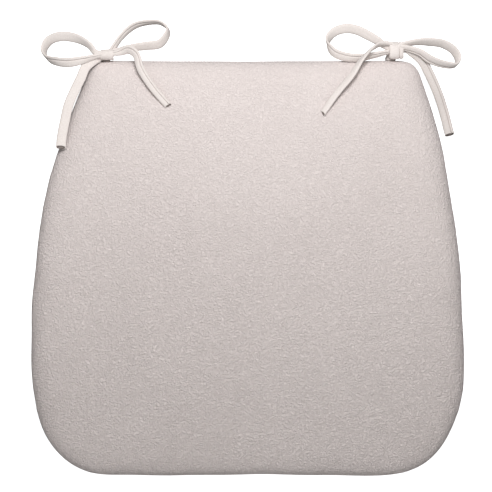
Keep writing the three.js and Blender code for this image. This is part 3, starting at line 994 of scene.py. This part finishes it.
def make_foam():
    foam = Finish("foam", 0.95)
    settings = {"feature": "SMOOTH_F1"}
    cells = foam.node("ShaderNodeTexVoronoi", settings, {"Vector": foam.place, "Scale": 700.0})
    large = foam.node("ShaderNodeTexVoronoi", settings, {"Vector": foam.place, "Scale": 310.0})
    tone = foam.spread(cells * 0.6 + large * 0.3 + foam.noise(0.05) * 0.2, 0.1, 0.8)
    foam.feed("Base Color", foam.mix(tone, colour(226, 208, 158), colour(246, 234, 200)))
    foam.bump(cells * 0.6 + large * 0.4, 0.0005)
    return foam.material


foam_slab = copy_piece(form, "foam_slab")
places = read_places(foam_slab) - outward_normals(foam_slab) * FOAM_INSET
places[:, 1] = np.minimum(places[:, 1], FOAM_REAR)
write_places(foam_slab, places)
foam_slab.data.materials.append(make_foam())
for face in foam_slab.data.polygons:
    face.use_smooth = True
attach(foam_slab, "pad")
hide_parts("foam_core")
print("foam reaches back to y mm:", round(FOAM_REAR / MM, 1))

# %% [markdown]
# A seam shows as a thin dotted line: each stitch comes up, lies on the cloth and goes down again.
# One thread is swept along the whole seam, and at every stitch it sinks between the panels.

# %% Threads
STITCH = 3.2 * MM
THREAD = 0.32 * MM


def sweep_thread(name, points, radius, material, replaced, body, closed=True, sides=6):
    """A round closed tube through points, as one mesh."""
    points = np.asarray(points, float)
    count = len(points)
    ahead = np.roll(points, -1, axis=0) - np.roll(points, 1, axis=0)
    if not closed:
        ahead[0] = points[1] - points[0]
        ahead[-1] = points[-1] - points[-2]
    ahead /= np.linalg.norm(ahead, axis=1)[:, None]
    normal = np.cross(ahead[0], (0.31, 0.17, 0.93))
    rings = np.empty((count, sides, 3))
    for i in range(count):
        normal = normal - ahead[i] * np.dot(normal, ahead[i])
        normal /= np.linalg.norm(normal)
        other = np.cross(ahead[i], normal)
        for j in range(sides):
            angle = 2 * math.pi * j / sides
            offset = normal * math.cos(angle) + other * math.sin(angle)
            rings[i, j] = points[i] + offset * radius
    twist = 0
    if closed:
        turned = [np.roll(rings[-1], k, axis=0) for k in range(sides)]
        twist = int(np.argmin([np.linalg.norm(rings[0] - ring, axis=1).sum() for ring in turned]))
    faces = []
    for i in range(count if closed else count - 1):
        k = (i + 1) % count
        turn = twist if k == 0 else 0
        for j in range(sides):
            here = (i * sides + j, i * sides + (j + 1) % sides)
            there = (k * sides + (j + 1 - turn) % sides, k * sides + (j - turn) % sides)
            faces.append(here + there)
    if not closed:
        faces.append(tuple(range(sides))[::-1])
        faces.append(tuple((count - 1) * sides + j for j in range(sides)))
    mesh = bpy.data.meshes.new(name)
    mesh.from_pydata([tuple(v) for v in rings.reshape(-1, 3)], [], faces)
    thread = bpy.data.objects.new(name, mesh)
    scene.collection.objects.link(thread)
    edit_all(thread)
    bpy.ops.mesh.normals_make_consistent(inside=False)
    leave_edit()
    for face in mesh.polygons:
        face.use_smooth = True
    mesh.materials.append(material)
    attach(thread, body)
    for node in replaced:
        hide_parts(node)
    return thread


def make_thread():
    thread = Finish("sewing_thread", 0.6)
    plies = thread.noise(0.0005, 2.0, 0.6)
    thread.feed("Base Color", thread.mix(plies, colour(205, 196, 190), colour(232, 225, 219)))
    thread.bump(plies, 0.00008)
    return thread.material


thread_finish = make_thread()


def seam_ring(height):
    """The form's outline at a height, as points in order round the pad."""
    ring = copy_piece(form, "ring")
    edit_all(ring)
    bpy.ops.mesh.bisect(
        plane_co=(0, 0, height), plane_no=(0, 0, 1), clear_inner=True, clear_outer=True
    )
    leave_edit()
    points = read_places(ring)
    bpy.data.objects.remove(ring)
    angles = np.arctan2(points[:, 1] - pad_middle.y, points[:, 0])
    points = points[np.argsort(angles)]
    gaps = np.linalg.norm(np.diff(points, axis=0), axis=1)
    return points[np.append(True, gaps > 0.2 * MM)]


def even_points(points, step, closed=True):
    """The same line with points at even steps."""
    if closed:
        points = np.vstack([points, points[:1]])
    run = np.append(0, np.cumsum(np.linalg.norm(np.diff(points, axis=0), axis=1)))
    count = max(3, round(run[-1] / step))
    marks = np.linspace(0, run[-1], count, endpoint=not closed)
    return np.stack([np.interp(marks, run, points[:, i]) for i in range(3)], axis=1)


PER_STITCH = 6
STITCH_OUT = 0.12 * MM
STITCH_SINK = 0.28 * MM
for word, height in (("top", top_seam), ("bottom", bottom_seam)):
    ring = seam_ring(height)
    length = np.linalg.norm(np.diff(np.vstack([ring, ring[:1]]), axis=0), axis=1).sum()
    whole = round(length / STITCH)
    line = even_points(ring, length / (whole * PER_STITCH))
    ahead = np.roll(line, -1, axis=0) - np.roll(line, 1, axis=0)
    outward = np.stack([ahead[:, 1], -ahead[:, 0], np.zeros(len(line))], axis=1)
    outward /= np.linalg.norm(outward, axis=1)[:, None]
    phase = np.cos(np.arange(len(line)) / PER_STITCH * 2 * math.pi)
    line = line + outward * (STITCH_OUT + phase * STITCH_SINK)[:, None]
    replaced = [f"{word}_seam_thread"]
    sweep_thread(f"{word}_seam_stitches", line, THREAD, thread_finish, replaced, "pad")
    print(word, "seam:", whole, "stitches")

# %% [markdown]
# Each strap is held by a bar tack, the tight zigzag that a machine sews back and forth on one spot.

# %% Bar tacks
TACK_THREAD = 0.3 * MM
TACK_STEP = 0.5 * MM
TACK_STROKES = 18

for side in ("left", "right"):
    low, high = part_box(f"tie_tack_{side}")
    zigzag = []
    for i in range(TACK_STROKES + 1):
        share = i / TACK_STROKES
        x = low.x + 0.6 * MM + (high.x - low.x - 1.2 * MM) * share
        y = high.y - 0.4 * MM if i % 2 else low.y + 0.4 * MM
        zigzag.append((x, y, high.z - 0.35 * MM))
    line = even_points(np.array(zigzag), TACK_STEP, False)
    replaced = [f"tie_tack_{side}"]
    sweep_thread(
        f"bar_tack_{side}", line, TACK_THREAD, thread_finish, replaced, "pad", False
    )

# %% [markdown]
# The zip is a nylon coil zip. Each coil is one springy filament wound into narrow turns and sewn to
# a woven tape. The turns are a real helix, flattened, so light catches every one of them.

# %% Zip coils
COIL_PITCH = 1.3 * MM
FILAMENT = 0.3 * MM
PER_TURN = 10


def make_coil_plastic():
    plastic = Finish("zip_coil_plastic", 0.38)
    smear = plastic.noise(0.004, 2.0, 0.5)
    plastic.feed("Base Color", plastic.mix(smear, colour(206, 199, 191), colour(228, 222, 215)))
    plastic.feed("Roughness", 0.32 + smear * 0.14)
    return plastic.material


coil_plastic = make_coil_plastic()
for word, way in (("upper", 1), ("lower", -1)):
    low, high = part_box(f"zip_coil_{word}")
    middle = (low + high) / 2
    turns = int((high.x - low.x - 2 * FILAMENT) / COIL_PITCH)
    line = []
    for i in range(turns * PER_TURN + 1):
        angle = 2 * math.pi * i / PER_TURN
        bulge = math.copysign(abs(math.cos(angle)) ** 0.8, math.cos(angle))
        line.append((
            low.x + FILAMENT + COIL_PITCH * i / PER_TURN,
            middle.y + math.sin(angle) * ((high.y - low.y) / 2 - FILAMENT),
            middle.z - way * bulge * ((high.z - low.z) / 2 - FILAMENT),
        ))
    replaced = [f"zip_coil_{word}"]
    sweep_thread(
        f"coil_turns_{word}", line, FILAMENT, coil_plastic, replaced, "pad", False, 5
    )
    print(word, "coil:", turns, "turns")

# %% [markdown]
# The tapes, the stops, the slider and its pull keep the shapes they have in the frame. The hard
# pieces are copied, their loose triangles are merged back into flat faces, and a small bevel breaks
# every edge, as tumbling does to die-cast metal.

# %% Zip metal and tape
def make_metal():
    metal = Finish("zip_metal", 0.3, 1.0)
    brushed = metal.noise(0.0009, 3.0, 0.6, 0.4)
    worn = metal.spread(metal.noise(0.006, 3.0, 0.6), 0.42, 0.62)
    metal.feed("Base Color", metal.mix(worn, colour(148, 146, 142), colour(176, 174, 170)))
    metal.feed("Roughness", 0.22 + brushed * 0.16 + worn * 0.08)
    metal.bump(brushed, 0.00004)
    return metal.material


TWILL = 0.9 * MM
TWILL_COLUMN = 4 * MM


def make_tape():
    tape = Finish("zip_tape_weave", 0.85)
    along = tape.axis("X")
    across = tape.axis("Z")
    twill = tape.wave(along + across * 0.9, TWILL)
    back = tape.wave(along - across * 0.9, TWILL)
    column = tape.spread(tape.wave(across, TWILL_COLUMN), 0.45, 0.55)
    weave = twill * column + back * (1 - column)
    fibres = tape.noise(0.0003, 2.0, 0.6)
    tone = weave * 0.6 + fibres * 0.4
    tape.feed("Base Color", tape.mix(tone, colour(198, 190, 184), colour(224, 217, 211)))
    tape.bump(tone, 0.00012)
    return tape.material


zip_metal = make_metal()
tape_weave = make_tape()
for word in ("upper", "lower"):
    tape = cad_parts[f"zip_tape_{word}"]
    tape.data.materials.clear()
    tape.data.materials.append(tape_weave)

HARD_PIECES = (
    ("zip_slider", "slider_body", "slider", zip_metal, "zip_metal", 0.16),
    ("zip_pull", "pull_tab", "pull", zip_metal, "zip_metal", 0.14),
    ("zip_closed_stop", "closed_stop", "pad", coil_plastic, "zip_coil", 0.35),
    ("zip_open_stop", "open_stop", "pad", coil_plastic, "zip_coil", 0.35),
)
for node, name, body, material, slot, edge in HARD_PIECES:
    piece = copy_piece(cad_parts[node], name)
    edit_all(piece)
    bpy.ops.mesh.remove_doubles(threshold=0.005 * MM)
    bpy.ops.mesh.dissolve_limited(angle_limit=math.radians(2))
    leave_edit()
    sharp = math.radians(30)
    apply_modifier(
        piece, "BEVEL", width=edge * MM, segments=3, limit_method="ANGLE", angle_limit=sharp
    )
    select_only(piece)
    bpy.ops.object.shade_smooth_by_angle(angle=math.radians(40))
    piece.data.materials.append(material)
    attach(piece, body)
    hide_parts(node)
    print(name, len(piece.data.polygons), "faces")

# %% [markdown]
# The grip dots are small drops of soft plastic printed on the underside. One drop is modelled, as a
# ball flattened at both ends, and copied to every place of a staggered grid that lies well inside
# the bottom seam. They reach down to the floor, so the pad stands on them.

# %% Grip dots
DOT_RADIUS = 1.4 * MM
DOT_PITCH = 10 * MM
DOT_TOP = 1.1 * MM
ROW_PITCH = DOT_PITCH * 0.866
DOT_MARGIN = 13 * MM


def make_dot_plastic():
    dots = Finish("grip_dots", 0.55)
    tone = dots.noise(0.02, 2.0, 0.5)
    dots.feed("Base Color", dots.mix(tone, colour(206, 200, 195), colour(226, 221, 216)))
    dots.feed("Roughness", 0.5 + tone * 0.12)
    dots.bump(dots.noise(0.0006), 0.00005)
    return dots.material


bpy.ops.object.select_all(action="DESELECT")
bpy.ops.mesh.primitive_uv_sphere_add(segments=8, ring_count=5, radius=1, location=(0, 0, 0))
drop = bpy.context.object
drop_places = read_places(drop)
drop_faces = [tuple(face.vertices) for face in drop.data.polygons]
bpy.data.objects.remove(drop)
bottom_outline = seam_ring(bottom_seam)
outline_angles = np.arctan2(bottom_outline[:, 1] - pad_middle.y, bottom_outline[:, 0])
outline_reach = np.hypot(bottom_outline[:, 1] - pad_middle.y, bottom_outline[:, 0])
order = np.argsort(outline_angles)
outline_angles, outline_reach = outline_angles[order], outline_reach[order]
dot_places = []
rows = int((pad_high.y - pad_low.y) / ROW_PITCH)
for row in range(rows + 1):
    y = pad_low.y + row * ROW_PITCH
    for column in range(-22, 23):
        x = (column + 0.5 * (row % 2)) * DOT_PITCH
        angle = math.atan2(y - pad_middle.y, x)
        reach = np.interp(angle, outline_angles, outline_reach, period=2 * math.pi)
        if math.hypot(x, y - pad_middle.y) < reach - DOT_MARGIN:
            dot_places.append((x, y))
dot_points = []
dot_faces = []
for x, y in dot_places:
    start = len(dot_points)
    for px, py, pz in drop_places:
        height = DOT_TOP * (0.5 + 0.5 * math.copysign(abs(pz) ** 0.7, pz))
        dot_points.append((x + px * DOT_RADIUS, y + py * DOT_RADIUS, height))
    dot_faces.extend(tuple(start + v for v in face) for face in drop_faces)
dot_mesh = bpy.data.meshes.new("grip_dots")
dot_mesh.from_pydata(dot_points, [], dot_faces)
grip_dots = bpy.data.objects.new("grip_dots", dot_mesh)
scene.collection.objects.link(grip_dots)
for face in dot_mesh.polygons:
    face.use_smooth = True
dot_mesh.materials.append(make_dot_plastic())
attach(grip_dots, "pad")
print(len(dot_places), "grip dots")

# %% [markdown]
# The floor is plain and pale. It shines a little itself, like a light table, which keeps it even,
# but it throws no light back, so the rolled sides keep their shade. A pale dome of the same paper
# stands far round it as the backdrop for low views.

# %% Floor
bpy.ops.object.select_all(action="DESELECT")
bpy.ops.mesh.primitive_plane_add(size=18, location=(0, 0, -0.0002))
floor = bpy.context.object
floor.name = "floor"
paper = Finish("pale_paper", 0.9)
paper.shader.inputs["Base Color"].default_value = (0.9, 0.9, 0.9, 1)
paper.shader.inputs["Emission Color"].default_value = (1, 1, 1, 1)
paper.shader.inputs["Emission Strength"].default_value = 0.93
floor.data.materials.append(paper.material)
floor.visible_diffuse = False
bpy.ops.object.select_all(action="DESELECT")
bpy.ops.mesh.primitive_uv_sphere_add(segments=48, ring_count=24, radius=9, location=(0, 0, 0))
backdrop = bpy.context.object
backdrop.name = "backdrop"
backdrop.data.materials.append(paper.material)
backdrop.visible_diffuse = False
backdrop.visible_shadow = False
bpy.data.objects.remove(form)
